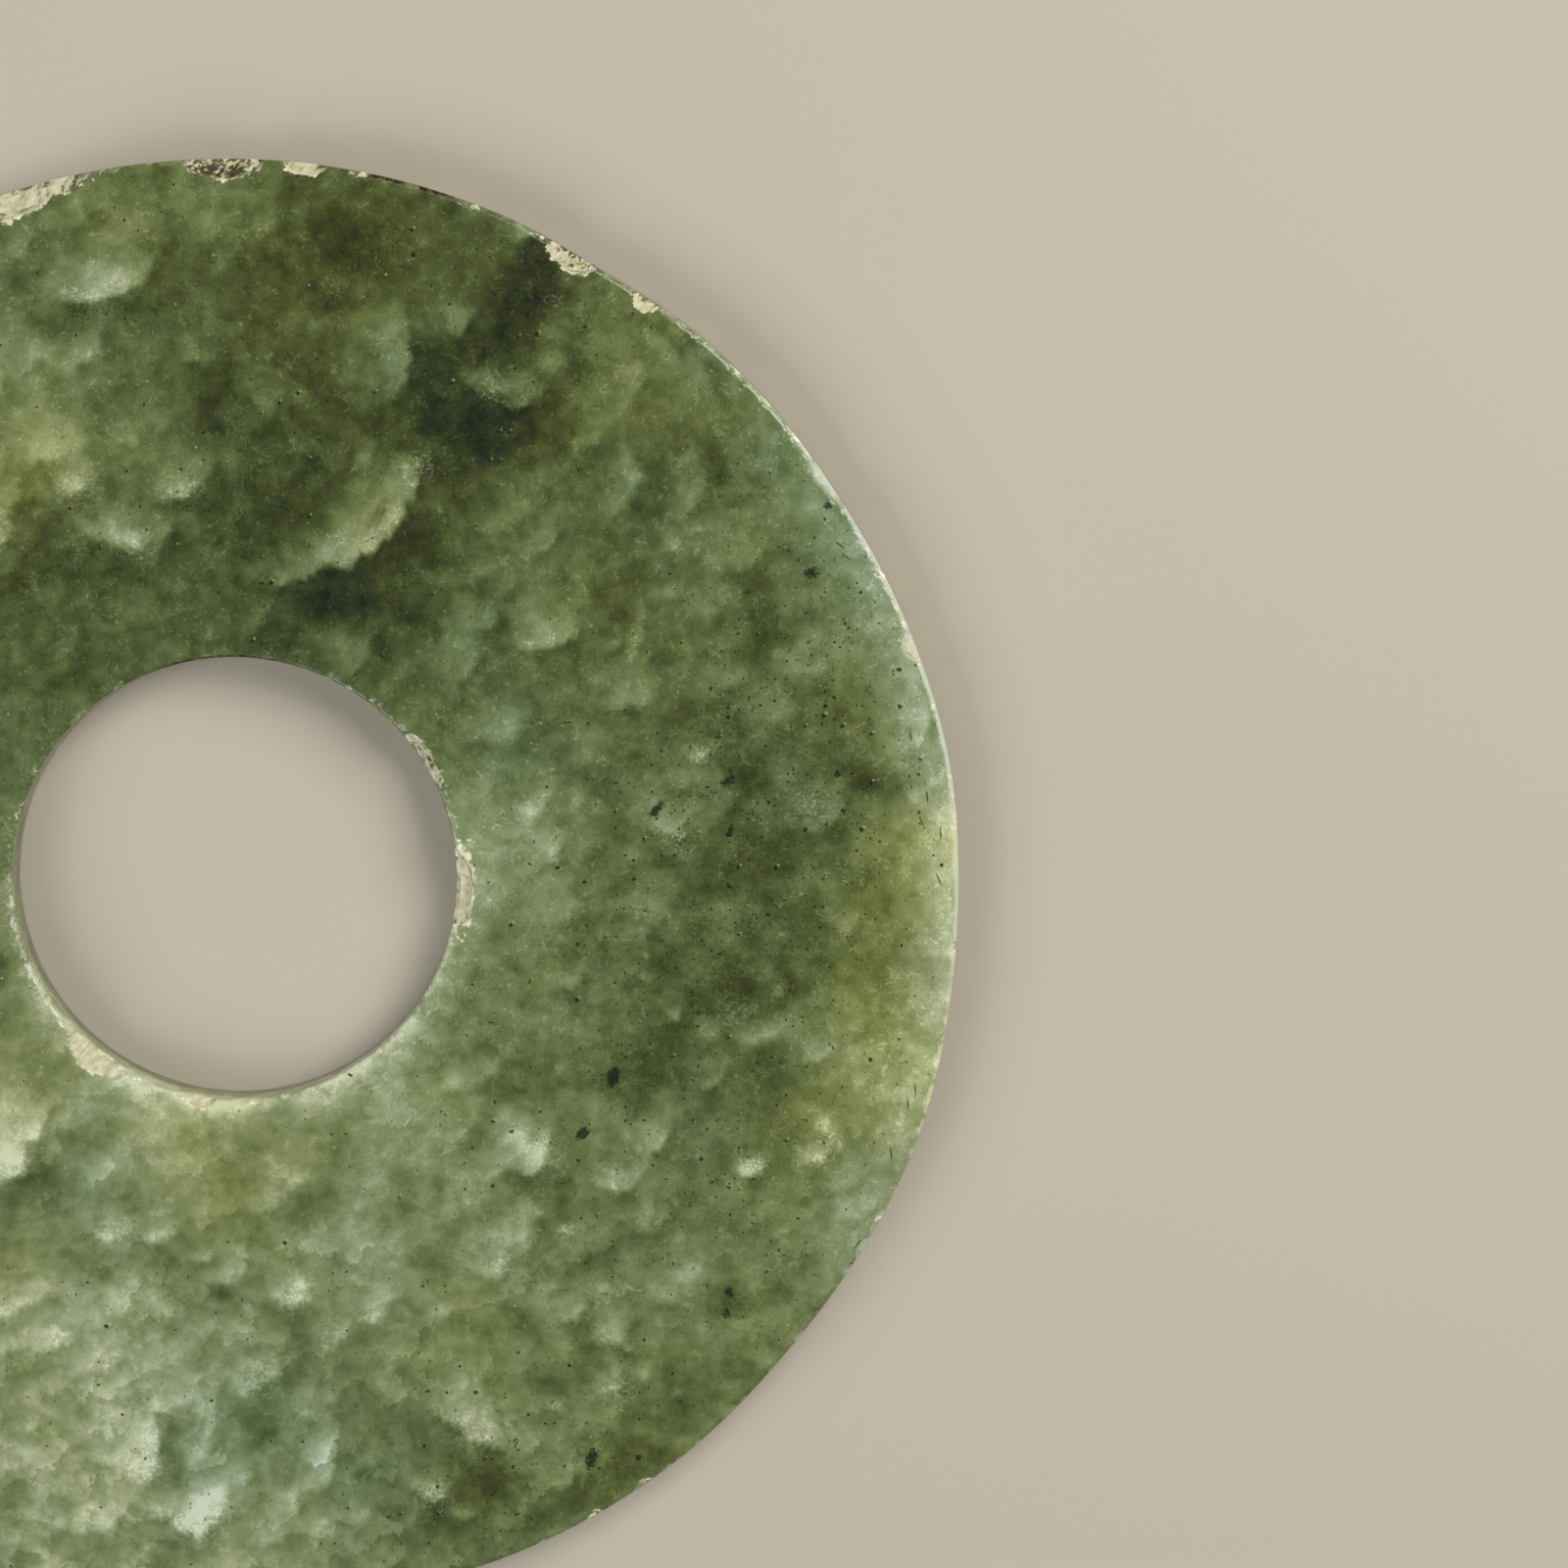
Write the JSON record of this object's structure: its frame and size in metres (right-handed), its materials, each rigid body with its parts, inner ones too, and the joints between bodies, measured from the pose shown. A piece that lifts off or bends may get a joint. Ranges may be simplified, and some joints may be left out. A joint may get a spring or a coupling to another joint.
{
  "type": "jade bi disc",
  "caption": "Plain flat ring of mottled green jade with a round central hole, polished faces and chipped, weathered edges.",
  "frame": {"origin": "under the middle of the disc's outline, on the back face it lies on", "axes": "+Z out of the front face, +Y towards the top of the picture, +X towards its right"},
  "size_m": [0.1402, 0.14, 0.0065],
  "materials": {
    "jade": "polished mottled green nephrite, satin gloss, with cream weathered chips and brown soil along the edges"
  },
  "bodies": {
    "root": {"bi_disc": "jade"}
  },
  "joints": []
}
